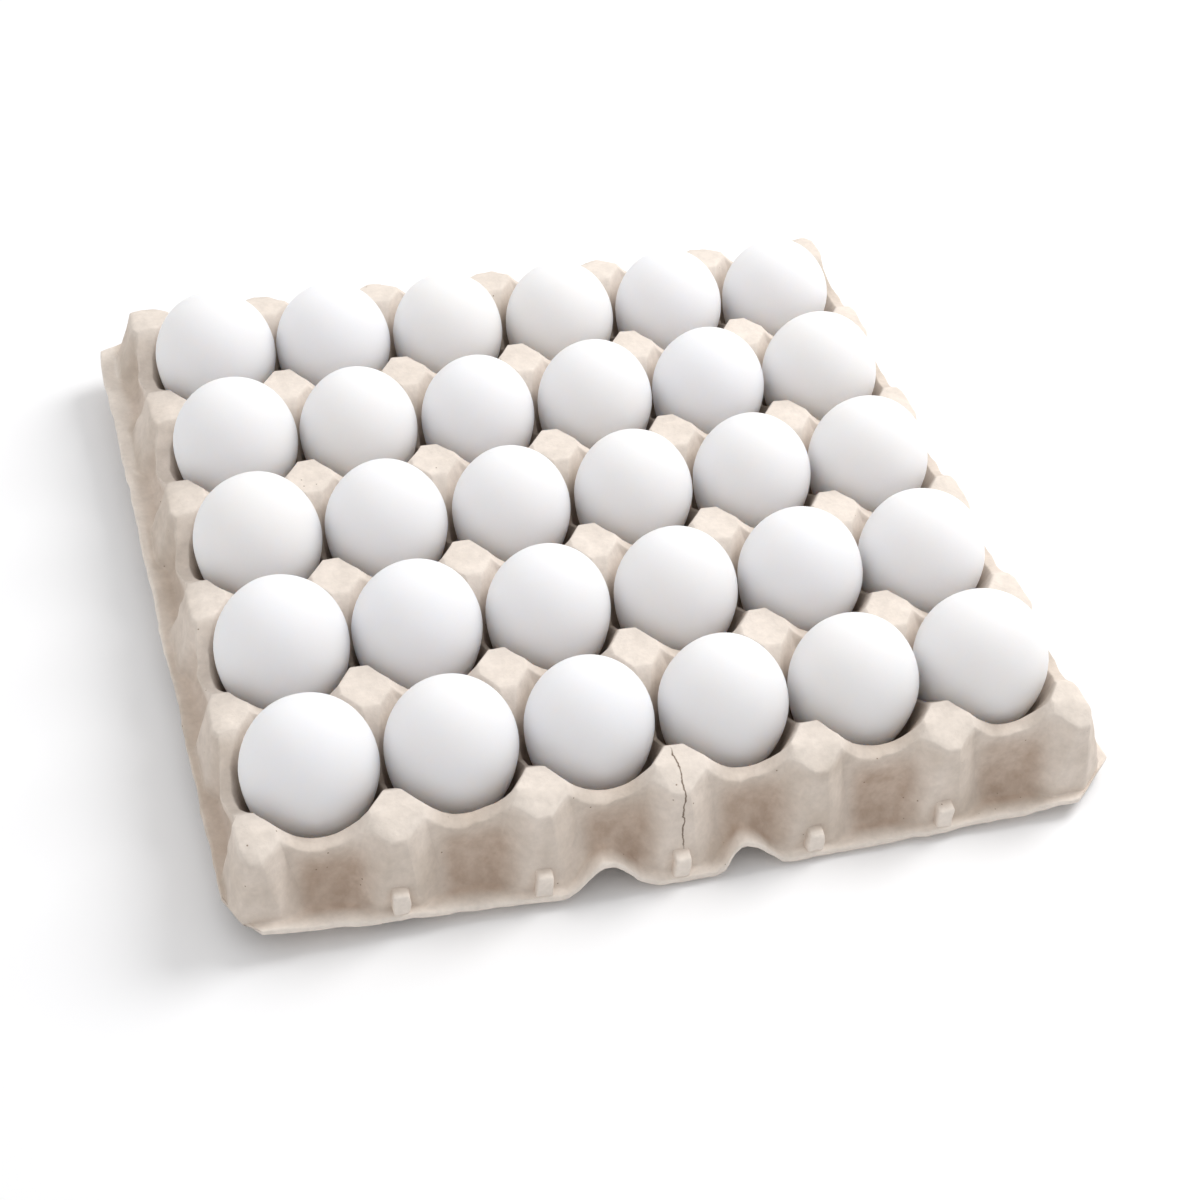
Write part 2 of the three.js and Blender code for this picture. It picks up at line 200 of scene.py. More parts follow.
# The sheet's upper and lower face. A post's top reaches post_x and post_y from its middle, and
# its blunt ends there reach flat_x and flat_y to each side. A saddle is the middle of a ridge
# along a row, along a column or at an end of the tray, and a ledge is half the width of a crest.
# At its knee a cup's wall has turned round, and its floor is a disk. The rest are heights.
UPPER = dict(
    post=39, post_x=8.0, post_y=8.9, flat_x=2.1, flat_y=3.0,
    row_saddle=30, row_ledge=2.7, column_saddle=23, column_ledge=0.9,
    shoulder=29.2, shoulder_ledge=0.6, end_saddle=30, end_ledge=1.6,
    end_shoulder=34.4, end_shoulder_ledge=1.3,
    knee_radius=19.6, knee=17.2, floor_radius=8.3, floor=2.5,
)
LOWER = dict(
    post=36.7, post_x=6.5, post_y=7.4, flat_x=1.5, flat_y=2.1,
    row_saddle=27.4, row_ledge=1.3, column_saddle=18.4, column_ledge=0.3,
    shoulder=25.6, shoulder_ledge=0.3, end_saddle=27.4, end_ledge=0.6,
    end_shoulder=31.4, end_shoulder_ledge=0.6,
    knee_radius=21.8, knee=16.4, floor_radius=9.2, floor=0,
)

# How many steps each stretch of a quarter of a ring has, from the column ridge to the row ridge.
# A stretch that has two stretches of the outer wall beside it is walked in two parts.
POST_STEPS = (4, 4)
RIDGE_STEPS = (5, 3)
QUARTER_STEPS = ((5,), (5,), POST_STEPS, POST_STEPS, RIDGE_STEPS)

# Where the lines across each stretch lie, from the cell's edge inwards, closest at the bends.
CUP_LEVELS = {
    "upper": ((0, 0.4, 0.72, 0.9, 1), (0, 0.05, 0.13, 0.3, 0.55, 0.85, 1), (0, 1)),
    "lower": ((0, 1), (0, 0.5, 1), (0, 1)),
}


def quarter_ring(face, at_end):
    """Gives the corner points of a quarter of a cup's two upper ring lines, between the column
    ridge at +X and the row ridge at +Y: the line on the cell's edge, along the crests of the
    ridges and over the post's middle, and the line where the cup's wall starts."""
    if at_end:
        saddle = (HALF_X + END_BOW, face["end_saddle"], face["end_ledge"])
        shoulder = (HALF_X + END_SHOULDER_BOW, face["end_shoulder"], face["end_shoulder_ledge"])
    else:
        saddle = (HALF_X, face["column_saddle"], face["column_ledge"])
        shoulder = (HALF_X, face["shoulder"], face["shoulder_ledge"])
    near_x = HALF_Y - face["post_y"]
    near_y = HALF_X - face["post_x"]
    first = (HALF_X - face["flat_y"], near_x)
    last = (near_y, HALF_Y - face["flat_x"])
    edge = [
        (saddle[0], 0, saddle[1]),
        (shoulder[0], SHOULDER_AT, shoulder[1]),
        (HALF_X, near_x, face["post"]),
        (HALF_X, HALF_Y, face["post"]),
        (near_y, HALF_Y, face["post"]),
        (0, HALF_Y, face["row_saddle"]),
    ]
    wall = [
        (saddle[0] - saddle[2], 0, saddle[1]),
        (shoulder[0] - shoulder[2], SHOULDER_AT, shoulder[1]),
        (*first, face["post"]),
        ((first[0] + last[0]) / 2, (first[1] + last[1]) / 2, face["post"]),
        (*last, face["post"]),
        (0, HALF_Y - face["row_ledge"], face["row_saddle"]),
    ]
    return np.array(edge, float), np.array(wall, float)


def cup_middle(column, row, height):
    """The place over a cup's middle, as columns and rows are counted from the left front."""
    across = (column - (COLUMNS - 1) / 2) * CELL_X
    return np.array([across, (row - (ROWS - 1) / 2) * CELL_Y, height])


def walk(parts):
    """The shares of the way along a stretch at which its points lie, without its end. Each part
    is as long as its number of steps asks, and has shorter steps by a cosine towards its ends."""
    shares = []
    for number, steps in enumerate(parts):
        eased = (1 - np.cos(np.arange(steps) * math.pi / steps)) / 2
        shares.append((sum(parts[:number]) + eased * steps) / sum(parts))
    return np.concatenate(shares)


def spread(points, steps):
    """Walks a line of corner points, stretch by stretch, leaving out its last point."""
    stretches = [
        start + (stop - start) * walk(parts)[:, None]
        for start, stop, parts in zip(points[:-1], points[1:], steps)
    ]
    return np.concatenate(stretches)


def level_shares(fractions):
    """For each line of a grid, the stretch that it lies in and its share of the way across."""
    first = [(0, 0)]
    return first + [(number, share) for number, shares in enumerate(fractions) for share in shares[1:]]


def levels_between(lines, fractions):
    """Fills in the lines between neighbouring lines of a grid at the given fractions, and gives
    an array of lines, points on a line, and X, Y, Z."""
    shares = level_shares(fractions)
    return np.stack([lines[n] + (lines[n + 1] - lines[n]) * share for n, share in shares])


def cup_grid(face, levels, end_sign):
    """The rings of one cup about its own axis: cell edge, top of the wall, knee and floor. The
    two upper rings are quarters mirrored in X and Y, and the two lower ones are circles."""
    edge, wall, angle = [], [], []
    for number, (sign_x, sign_y) in enumerate(((1, 1), (-1, 1), (-1, -1), (1, -1))):
        points = quarter_ring(face, sign_x == end_sign)
        steps = QUARTER_STEPS
        if sign_x * sign_y < 0:
            points = [line[::-1] for line in points]
            steps = [parts[::-1] for parts in steps[::-1]]
        flip = np.array([sign_x, sign_y, 1])
        edge.append(spread(points[0] * flip, steps))
        wall.append(spread(points[1] * flip, steps))
        corners = (number + np.arange(6) / 5)[:, None]
        angle.append(spread(corners, steps)[:, 0] * math.pi / 2)
    angle = np.concatenate(angle)
    circles = [
        np.stack([radius * np.cos(angle), radius * np.sin(angle), np.full(len(angle), height)], 1)
        for radius, height in (
            (face["knee_radius"], face["knee"]),
            (face["floor_radius"], face["floor"]),
        )
    ]
    return levels_between([np.concatenate(edge), np.concatenate(wall), *circles], levels)


def grid_quads(lines, points, closed=True):
    """The corner numbers of the quads of a grid: each joins two neighbours on one line with the
    same two on the next line."""
    first = np.arange(lines - 1)[:, None] * points
    here = np.arange(points if closed else points - 1)[None, :]
    following = (here + 1) % points
    corners = [first + here, first + following, first + points + following, first + points + here]
    return np.stack([corner.ravel() for corner in corners], 1)


# The outer wall. Each column of it runs from the line of the posts over the top edge, down to
# the foot, out to the rim, round the rim's edge and back up the inside. A stretch along a side
# is half a bay: post's middle, edge of its face, edge of its flank, shoulder, middle of the bay.
# Places are along the side from a post's middle, out from the line of the posts, and height.
LONG_SIDE = dict(
    pitch=CELL_X, bays=COLUMNS, post="post_x",
    face_top=(2.6, 9.4, 35.3), flank_top=(9.0, 2.6, 37.2), shoulder_top=(16.0, 2.8, 33.2),
    saddle_top=(3.0, 30), corner_top=(-2.0, 8.9, 35.5),
    face_foot=(6.5, 11.4), flank_foot=(15.0, 6.6), shoulder_foot=(18.5, 6.2),
    saddle_foot=6.2, corner_foot=(-5.0, 11.0),
    bow_out=1.6, bow_down=5.6, hollow=2.6, steps=((4,), (4,), (5,), (3,)),
)
SHORT_SIDE = dict(
    pitch=CELL_Y, bays=ROWS, post="post_y",
    face_top=(6.5, 4.4, 37.8), flank_top=(9.4, 3.0, 38.2), shoulder_top=(18.0, 4.4, 34.4),
    saddle_top=(6.0, 30), corner_top=(-3.5, 4.4, 37.8),
    face_foot=(9.0, 11.2), flank_foot=(15.0, 7.6), shoulder_foot=(18.0, 7.2),
    saddle_foot=7.0, corner_foot=(-4.0, 11.2),
    bow_out=0.0, bow_down=0.0, hollow=1.8, steps=((4,), (4,), (5,), (5,)),
)

# The foot stands so high above the rim's top, and sags and reaches out by these shares of what
# the rim does. Then the sheet's thickness at the rim, how far in and down the corners of its
# inside lie, and the number of steps round a corner of the tray.
FOOT_ABOVE_RIM = -0.6
FOOT_SAG_SHARE = 0.8
FOOT_REACH_SHARE = 0.6
SHEET_THICK = 2.2
INNER_FOOT_IN = 2.5
INNER_TOP_IN = 1.7
INNER_TOP_DOWN = 2.5
CORNER_STEPS = 6

# The dried sheet has warped. Each pair is for a side's first and last corner: how far out the
# rim reaches, the height of its top, how far it runs on past the corner post, and how far the
# wall's top edge leans out. "lean" moves the posts' outer halves along the side.
FRONT = dict(
    LONG_SIDE, rim_out=(15, 15), rim_top=(12, 7.2), run_on=(0, 1.5), top_out=(0, 0), lean=-1.5
)
RIGHT = dict(
    SHORT_SIDE, rim_out=(18.5, 16), rim_top=(7.2, 10), run_on=(0, 0), top_out=(0, 0), lean=0
)
BACK = dict(
    LONG_SIDE, rim_out=(15.7, 14.1), rim_top=(10, 18), run_on=(0, 9), top_out=(0, 0), lean=0
)
LEFT = dict(
    SHORT_SIDE, rim_out=(20, 10), rim_top=(18, 12), run_on=(9, 0), top_out=(2.1, -0.4), lean=0
)
SIDES = (
    (FRONT, lambda a, o: (a - POST_LINE, -POST_LINE - o)),
    (RIGHT, lambda a, o: (POST_LINE + o, a - POST_LINE)),
    (BACK, lambda a, o: (POST_LINE - a, POST_LINE + o)),
    (LEFT, lambda a, o: (-POST_LINE - o, POST_LINE - a)),
)

# Two arches in the front rim and two in the back rim let fingers in under the tray. Each is
# given by where its peak is along the side, and how far it reaches before and after that. Then
# how high it lifts the rim, and how far it draws in the rim and the foot.
ARCHES = ((108.5, 14, 17.5), (154.5, 10, 17))
ARCH_LIFT = 10.5
ARCH_RECESS = 2.0
ARCH_FOOT_IN = 1.2

# Where the finer lines lie on each of the seven stretches between a column's eight corners. Two
# of these are the wall's outer and inner face, which are drawn in between posts, and most where
# the share of the way along the stretch, to this power, is a half.
WALL_LEVELS = (
    (0, 0.35, 0.68, 0.88, 1),
    (0, 0.04, 0.1, 0.2, 0.32, 0.44, 0.56, 0.67, 0.77, 0.86, 0.93, 0.97, 1),
    (0, 0.1, 0.25, 0.5, 0.75, 0.9, 1),
    (0, 0.35, 0.65, 1),
    (0, 1),
    (0, 0.2, 0.4, 0.6, 0.8, 1),
    (0, 1),
)
OUTER_FACE = 1
INNER_FACE = 5
HOLLOW_POWER = 1.5


def post_line(face, form, along):
    """The line of posts beside the outer wall at a distance along from a post's middle: how far
    it bows out, and its height, by straight stretches between the corners of the ridge."""
    if form["post"] == "post_x":
        corners = (0, face["post_x"], HALF_X)
        return 0, np.interp(along, corners, (face["post"], face["post"], face["row_saddle"]))
    corners = (0, face["post_y"], HALF_Y - SHOULDER_AT, HALF_Y)
    heights = (face["post"], face["post"], face["end_shoulder"], face["end_saddle"])
    return (
        np.interp(along, corners, (0, 0, END_SHOULDER_BOW, END_BOW)),
        np.interp(along, corners, heights),
    )


def wall_column(top, foot, inner):
    """One column's eight corners, given its top, its foot, and its two places on the line of
    posts: line of posts, top, foot, rim, rim's underside, and the same three on the inside.
    The heights of foot and rim are from the rim's top, and the rim's reach is from the foot's
    own line of posts, as the warp adds the rest."""
    return [
        inner[0],
        top,
        (*foot, FOOT_ABOVE_RIM),
        (foot[0], 0, 0),
        (foot[0], 0, -SHEET_THICK),
        (foot[0], foot[1] - INNER_FOOT_IN, FOOT_ABOVE_RIM - SHEET_THICK),
        (top[0], top[1] - INNER_TOP_IN, top[2] - INNER_TOP_DOWN),
        inner[1],
    ]


def half_bay(form):
    """The five columns of half a bay, as an array of corners, columns, and along, out, height."""
    half = form["pitch"] / 2
    tops = [
        (0, *form["face_top"][1:]), form["face_top"], form["flank_top"], form["shoulder_top"],
        (half, *form["saddle_top"]),
    ]
    feet = [
        (0, form["face_foot"][1]), form["face_foot"], form["flank_foot"], form["shoulder_foot"],
        (half, form["saddle_foot"]),
    ]
    columns = []
    for number, (top, foot) in enumerate(zip(tops, feet)):
        inner = []
        for face in (UPPER, LOWER):
            reach = face[form["post"]]
            share = RIDGE_STEPS[0] / sum(RIDGE_STEPS)
            shoulder = reach + (half - reach) * share
            if form["post"] == "post_y":
                shoulder = HALF_Y - SHOULDER_AT
            along = (0, reach / 2, reach, shoulder, half)[number]
            inner.append((along, *post_line(face, form, along)))
        columns.append(wall_column(top, foot, inner))
    return np.array(columns, float).transpose(1, 0, 2)


def corner_column(form, run_on):
    """The column at the end of a side, where the corner post's blunt corner starts."""
    posts = [(0, 0, UPPER["post"]), (0, 0, LOWER["post"])]
    column = np.array(wall_column(form["corner_top"], form["corner_foot"], posts), float)
    column[3:5, 0] = -run_on
    return column[:, None]


def refine(columns, steps):
    """Adds columns between columns, stretch by stretch, keeping both ends."""
    stretches = []
    for number, parts in enumerate(steps):
        start, stop = columns[:, number, None], columns[:, number + 1, None]
        stretches.append(start + (stop - start) * walk(parts)[:, None])
    return np.concatenate([*stretches, columns[:, -1:]], 1)


def bow(along):
    """How far a long side's rim bows: a parabola from 0 at its ends to 1 at its middle."""
    return np.clip(1 - (along / POST_LINE - 1) ** 2, 0, 1)


def between(pair, along):
    """A value that changes evenly along a side, from its first corner post to its last."""
    return np.interp(along, (0, 2 * POST_LINE), pair)


def arch_share(along):
    """How much of an arch's height the rim has, from 0 to 1: a squared cosine on each side of
    its peak."""
    shares = []
    for peak, before, after in ARCHES:
        way = np.abs(along - peak) / np.where(along < peak, before, after)
        shares.append(np.cos(np.clip(way, 0, 1) * math.pi / 2) ** 2)
    return np.maximum(*shares)


def warped(columns, form):
    """Adds the rim's reach, height, bow and arches to a side's columns, row by row."""
    length = form["pitch"] * form["bays"]
    along = columns[..., 0].copy()
    from_end = np.clip(np.minimum(along, length - along) / CELL_X, 0, 1)
    on_wall = np.array([0, 1, 1, 1, 1, 1, 1, 0])[:, None]
    at_top = np.array([0, 1, 0, 0, 0, 0, 1, 0])[:, None]
    at_foot = np.array([0, 0, 1, 0, 0, 1, 0, 0])[:, None]
    at_rim = np.array([0, 0, 0, 1, 1, 0, 0, 0])[:, None]
    low = at_foot + at_rim
    columns[..., 0] += form["lean"] * from_end * on_wall
    arch = arch_share(columns[..., 0]) if form["bow_down"] else np.zeros_like(along)
    sag = bow(along)
    reach = between(form["rim_out"], along) - RIM_OUT
    columns[..., 1] += (
        at_top * between(form["top_out"], along)
        + at_foot * (FOOT_REACH_SHARE * reach - ARCH_FOOT_IN * arch**3)
        + at_rim * (RIM_OUT + reach - ARCH_RECESS * arch)
        + low * form["bow_out"] * sag
    )
    drop = form["bow_down"] * sag * (at_rim + FOOT_SAG_SHARE * at_foot)
    columns[..., 2] += low * (between(form["rim_top"], along) + ARCH_LIFT * arch) - drop
    return columns


def side_columns(form):
    """All columns of one side, from corner post to corner post. Half bays are laid end to end,
    every second one mirrored. At a corner post the first stretches share the post's middle."""
    mirror = np.array([-1, 1, 1])
    half = half_bay(form)
    parts = []
    for bay in range(form["bays"]):
        for sign, post in ((1, bay), (-1, bay + 1)):
            piece, steps = half, form["steps"]
            if post in (0, form["bays"]):
                face_column = half[:, 1:2].copy()
                face_column[[0, -1], 0, 0] = 0
                ends = corner_column(form, form["run_on"][0 if post == 0 else 1])
                piece = np.concatenate([ends, face_column, half[:, 2:]], 1)
                steps = ((4,), POST_STEPS, *form["steps"][2:])
            fine = refine(piece, steps)
            if sign < 0:
                fine = (fine * mirror)[:, ::-1]
            fine = fine + np.array([post * form["pitch"], 0, 0])
            at_join = parts and np.allclose(parts[-1][:, -1], fine[:, 0])
            parts.append(fine[:, 1:] if at_join else fine)
    return warped(np.concatenate(parts, 1), form)


def smooth_step(value, start, stop):
    """Runs from 0 to 1 between two values, along the curve 3t^2 - 2t^3."""
    share = np.clip((value - start) / (stop - start), 0, 1)
    return share**2 * (3 - 2 * share)


def hollowed(columns, form):
    """The finer levels of a side's columns. Between posts the wall is drawn in by half a sine
    wave over each of its faces, deepest below the outer one's middle, times a smooth step from
    the edge of a post's face to the edge of its flank."""
    levels = levels_between(list(columns), WALL_LEVELS)
    dips = [
        math.sin(math.pi * share**HOLLOW_POWER) if number in (OUTER_FACE, INNER_FACE) else 0
        for number, share in level_shares(WALL_LEVELS)
    ]
    pitch = form["pitch"]
    from_post = np.abs((levels[..., 0] - form["lean"] + pitch / 2) % pitch - pitch / 2)
    grown = smooth_step(from_post, form["face_foot"][0], form["flank_foot"][0])
    levels[..., 1] -= form["hollow"] * np.array(dips)[:, None] * grown
    return levels


def outer_wall():
    """The closed grid of the outer wall: four sides, with the corner facets between them."""
    parts = []
    for form, place in SIDES:
        levels = hollowed(side_columns(form), form)
        x, y = place(levels[..., 0], levels[..., 1])
        parts.append(np.stack([x, y, levels[..., 2]], 2))
    loops = []
    for number, part in enumerate(parts):
        start = part[:, -1:]
        stop = parts[(number + 1) % 4][:, :1]
        shares = (np.arange(1, CORNER_STEPS) / CORNER_STEPS)[None, :, None]
        loops += [part, start + (stop - start) * shares]
    return np.concatenate(loops, 1)


# The ridges along the rows and along the short sides hang between their posts. That holds up to
# so far from a ridge's own line, has faded out a little further off, and fades out down the walls
# between these heights. The six posts of the left side have sagged by so much, from front to
# back. That sets in between these distances left of the tray's middle, and these heights.
RIDGE_FADE = (3.4, 6.0)
RIDGE_HEIGHTS = (19.0, 29.0)
LEFT_SAG = (0, 1.8, 2.2, 2.6, 3.2, 0)
LEFT_SAG_REACH = (112, 134)
LEFT_SAG_HEIGHTS = (17, 34)


def fade(distance):
    """Runs from 1 near a ridge to 0 a few millimetres away from it."""
    return 1 - smooth_step(distance, *RIDGE_FADE)


def hang_ridges(points):
    """Lets each row ridge, and each outer ridge of the short sides, hang between its posts as a
    parabola, where it was straight slopes that met at its middle. The share of this fades out
    down the walls below the ridge."""
    x, y, z = points.T
    high = smooth_step(z, *RIDGE_HEIGHTS)
    from_middle = np.abs(x % CELL_X - HALF_X)
    from_ridge = np.abs((y - POST_LINE + HALF_Y) % CELL_Y - HALF_Y)
    share = np.clip(from_middle / (HALF_X - UPPER["post_x"]), 0, 1)
    drop = UPPER["post"] - UPPER["row_saddle"]
    points[:, 2] -= drop * (share - share**2) * fade(from_ridge) * high
    reach = HALF_Y - UPPER["post_y"]
    from_middle = np.abs((y - POST_LINE) % CELL_Y - HALF_Y)
    from_ridge = np.abs(np.abs(x) - POST_LINE - END_BOW / 2)
    corners = (UPPER["end_saddle"], UPPER["end_shoulder"], UPPER["post"])
    slopes = np.interp(from_middle, (0, SHOULDER_AT, reach), corners)
    drop = UPPER["post"] - UPPER["end_saddle"]
    parabola = UPPER["end_saddle"] + drop * np.clip(from_middle / reach, 0, 1) ** 2
    points[:, 2] -= (slopes - parabola) * fade(from_ridge) * high
    return points


def sag_left(points):
    """Lets the posts along the left side stand lower, as the sheet has sagged there."""
    x, y, z = points.T
    posts = np.linspace(-POST_LINE, POST_LINE, ROWS + 1)
    here = smooth_step(-x, *LEFT_SAG_REACH) * smooth_step(z, *LEFT_SAG_HEIGHTS)
    points[:, 2] -= np.interp(y, posts, LEFT_SAG) * here
    return points


# Points in the same thousandth of a millimetre are one point. The shift keeps round values,
# such as the posts' places, away from the edges of that grid.
WELD_STEPS_PER_MM = 1000
WELD_SHIFT = 0.137


def weld(points, quads):
    """Joins points that share a place. A quad that then holds a corner twice becomes a triangle,
    and one that holds two corners twice is dropped. Gives points, quads and triangles."""
    keys = np.round(points * WELD_STEPS_PER_MM + WELD_SHIFT).astype(np.int64)
    _, first, number = np.unique(keys, axis=0, return_index=True, return_inverse=True)
    quads = number.reshape(-1)[quads]
    same = quads == np.roll(quads, -1, 1)
    whole = quads[same.sum(1) == 0]
    pinched = same.sum(1) == 1
    triangles = quads[pinched][~same[pinched]].reshape(-1, 3)
    return points[first], whole, triangles


def mesh_edges(*groups):
    """The edges of faces, each once, as pairs of corner numbers."""
    pairs = [np.stack([group, np.roll(group, -1, 1)], 2).reshape(-1, 2) for group in groups]
    return np.unique(np.sort(np.concatenate(pairs), 1), axis=0)


# Wet fibre leaves no sharp bend and no flat face: bends are rounded over about 1 mm, and the
# dried sheet is warped by a few tenths of a millimetre. Each warp has its wavelength, its depth,
# and how many times deeper it is on the outer wall, which has been handled and is creased from
# these distances outside the posts. The waves of a warp differ in length between these shares.
BEND_REACH = 0.9
BEND_ROUNDS = 2
WARP_SIZES = ((38, 0.28, 1), (14, 0.12, 2), (7, 0.06, 3))
WARP_WAVES = 14
CREASED_FROM = (2, 7)
WAVE_LENGTHS = (0.7, 1.4)
WAVE_LEVEL = 1.3


def soften(points, edges):
    """Rounds off bends: in each round a point moves to the mean of itself and its neighbours,
    where a neighbour's weight falls off with its distance as a bell curve of the bend's reach."""
    start, stop = edges[:, 0], edges[:, 1]
    count = len(points)
    for _ in range(BEND_ROUNDS):
        gap = np.linalg.norm(points[start] - points[stop], axis=1)
        weight = np.exp(-((gap / BEND_REACH) ** 2))
        total = 1 + np.bincount(start, weight, count) + np.bincount(stop, weight, count)
        pull = [
            np.bincount(start, weight * points[stop, axis], count)
            + np.bincount(stop, weight * points[start, axis], count)
            for axis in range(3)
        ]
        points = (points + np.stack(pull, 1)) / total[:, None]
    return points


def from_post_line(points):
    """How far out from the line of the posts points lie, on the side that they are nearest."""
    return np.abs(points[:, :2]).max(1) - POST_LINE


def ripples(points, wavelength, waves, seed):
    """A smooth uneven field, mostly between -1 and 1: a sum of sine waves over the root of a
    little more than their number. They are of like length, and their lengths, directions and
    phases are drawn from a seeded generator."""
    draw = np.random.default_rng(seed)
    directions = draw.normal(size=(waves, 3))
    directions /= np.linalg.norm(directions, axis=1)[:, None]
    lengths = wavelength * draw.uniform(*WAVE_LENGTHS, waves)
    phases = draw.uniform(0, 2 * math.pi, waves)
    angles = points @ (directions * (2 * math.pi / lengths)[:, None]).T + phases
    return np.sin(angles).sum(1) / math.sqrt(WAVE_LEVEL * waves)


def new_piece(name, points, faces, material):
    """Makes a smooth-shaded mesh object at the origin from points in millimetres."""
    mesh = bpy.data.meshes.new(name)
    mesh.from_pydata((points * MM).tolist(), [], faces)
    mesh.validate()
    mesh.shade_smooth()
    mesh.materials.append(material)
    made = bpy.data.objects.new(name, mesh)
    bpy.context.scene.collection.objects.link(made)
    return made


# A small block stands at the foot of each post along the front and the back, with rounded
# edges and a top that falls off towards the rim. It stands out from the post's face, and runs
# back into the post and down into the rim, so that it is one piece with them.
LUG_WIDTH = 5.8
LUG_HEIGHT = 9.4
LUG_OUT = 3.0
LUG_BACK = 4.0
LUG_DROP = 0.6
LUG_SUNK = 1.0
LUG_SAG_SHARE = 0.85
LUG_ROUND = 0.45
LUG_FALL = 1.8
LUG_GRID = 9


def rounded_block(half_size, radius, steps):
    """A box with round edges: points spread over a cube's six sides are drawn in to the box that
    is smaller by the radius, and set off from it by the radius in the direction they lie. Its
    faces wind inwards, because placing it along a side mirrors it."""
    line = np.linspace(-1, 1, steps)
    u, v = (part.ravel() for part in np.meshgrid(line, line, indexing="ij"))
    points, quads = [], []
    for axis in range(3):
        for sign in (-1, 1):
            side_points = np.full((steps * steps, 3), float(sign))
            side_points[:, (axis + 1) % 3] = u * sign
            side_points[:, (axis + 2) % 3] = v
            quads.append(grid_quads(steps, steps, closed=False) + len(points) * steps * steps)
            points.append(side_points)
    outer = np.concatenate(points) * half_size
    inner = np.clip(outer, radius - half_size, half_size - radius)
    away = outer - inner
    return inner + away * (radius / np.linalg.norm(away, axis=1))[:, None], np.concatenate(quads)


def lugs():
    """The lugs of both long sides, one list of points for each, and the quads of one of them."""
    half_size = np.array([LUG_WIDTH, LUG_OUT + LUG_BACK, LUG_HEIGHT + LUG_SUNK]) / 2
    block, quads = rounded_block(half_size, LUG_ROUND, LUG_GRID)
    fall = LUG_FALL * (block[:, 1] / half_size[1] + 1) / 2 * np.clip(block[:, 2], 0, 1)
    placed = []
    for form, place in SIDES[::2]:
        for post in range(1, form["bays"]):
            along = post * form["pitch"]
            front = form["face_foot"][1] + LUG_OUT + form["bow_out"] * bow(along)
            base = between(form["rim_top"], along) - LUG_DROP
            base -= form["bow_down"] * bow(along) * LUG_SAG_SHARE
            x, y = place(along + form["lean"] + block[:, 0], front - half_size[1] + block[:, 1])
            height = base - LUG_SUNK + half_size[2] + block[:, 2] - fall
            placed.append(np.stack([x, y, height], 1))
    return placed, quads


# The two faces of the cups, the outer wall and the lugs are laid out and welded to one sheet.
all_points, all_quads = [], []
total = 0
for face, name in ((UPPER, "upper"), (LOWER, "lower")):
    for column in range(COLUMNS):
        end_sign = -1 if column == 0 else 1 if column == COLUMNS - 1 else 0
        rings = cup_grid(face, CUP_LEVELS[name], end_sign)
        lines, count = rings.shape[:2]
        last = (lines - 1) * count + np.arange(count)
        centre = np.full(count, lines * count)
        fan = np.stack([last, np.roll(last, -1), centre, centre], 1)
        cup_quads = np.concatenate([grid_quads(lines, count), fan])
        cup = np.concatenate([rings.reshape(-1, 3), [[0, 0, face["floor"]]]])
        for row in range(ROWS):
            all_points.append(cup + cup_middle(column, row, 0))
            all_quads.append(total + (cup_quads if name == "upper" else cup_quads[:, ::-1]))
            total += len(cup)
wall_grid = outer_wall()
all_points.append(wall_grid.reshape(-1, 3))
all_quads.append(total + grid_quads(*wall_grid.shape[:2])[:, ::-1])
total += len(all_points[-1])
lug_points, lug_quads = lugs()
for points in lug_points:
    all_points.append(points)
    all_quads.append(total + lug_quads)
    total += len(points)

tray_points, tray_quads, tray_triangles = weld(
    np.concatenate(all_points), np.concatenate(all_quads)
)
tray_points = sag_left(hang_ridges(tray_points))
tray_points = soften(tray_points, mesh_edges(tray_quads, tray_triangles))
creased = smooth_step(from_post_line(tray_points), *CREASED_FROM)[:, None]
warp = 0
for size, depth, times in WARP_SIZES:
    field = [ripples(tray_points, size, WARP_WAVES, size * 10 + axis) for axis in range(3)]
    warp = warp + depth * (1 + (times - 1) * creased) * np.stack(field, 1)
low, high = (np.array(corner) / MM for corner in cad_box)
tray_points = np.clip(tray_points + warp, low, high)

# Moulded pulp is a mat of grey-brown paper fibre: matt all over, blotched by how much fibre lay
# on the mould, felted at half a millimetre, with a few dark flecks of old print. Shade is painted
# into its colour as a warmer brown in the hollows, and light is painted in as a paler colour on
# the tops of the posts and along the rim. It has cracked over the middle post at the front.
PULP_LIGHT = "#e3d7cc"
PULP_DARK = "#cfc2b5"
# This colour is painted shade, a warmer brown for the hollows, and the next one is a painted highlight
# for the tops of the posts and the rim.
PULP_PAINTED_SHADE = "#bea998"
PULP_PAINTED_HIGHLIGHT = "#ece2d8"
PULP_FLECK = "#8d7a69"
PULP_CRACK = "#6d5b4c"

# How large the patterns are, and how deep the relief of three of them is. The fibres are finer
# in truth, too fine to show. Cells whose random value is above FLECK_ABOVE hold a fleck.
BLOTCH_MM = 22.0
PATCH_MM = 5.0
FELT_MM = 1.6
FIBRE_MM = 0.55
FLECK_MM = 3.2
FLECK_ABOVE = 0.8
PATCH_RELIEF = 0.5 * MM
FELT_RELIEF = 0.12 * MM
FIBRE_RELIEF = 0.06 * MM

# The painted shade of a bay of the outer wall sets in between these distances from its posts, these
# heights below its top edge, and these distances out from the line of the posts, at that line
# and at the foot. That of a cup sets in between these heights, and inside that line. In the front
# bays the painted shade lies a little right of the middle, and the short sides have less of it.
BAY_FROM_POST = (9, 16)
BAY_FROM_TOP = (33, 20)
BAY_FROM_LINE = (1, 3)
BAY_FROM_RIM = (12, 9)
BAY_SHIFT = 1.5
SHORT_BAY_SHARE = 0.3
CUP_FROM_TOP = (34, 18)
CUP_FROM_LINE = (1, -1)
CUP_SHARE = 0.7

# Highlight is painted as a paler colour on the posts between these heights, and on the rim between
# these distances out.
HIGHLIGHT_HEIGHTS = (33.5, 37)
HIGHLIGHT_RIM = (12.5, 14.5)
HIGHLIGHT_TOP_SHARE = 0.6

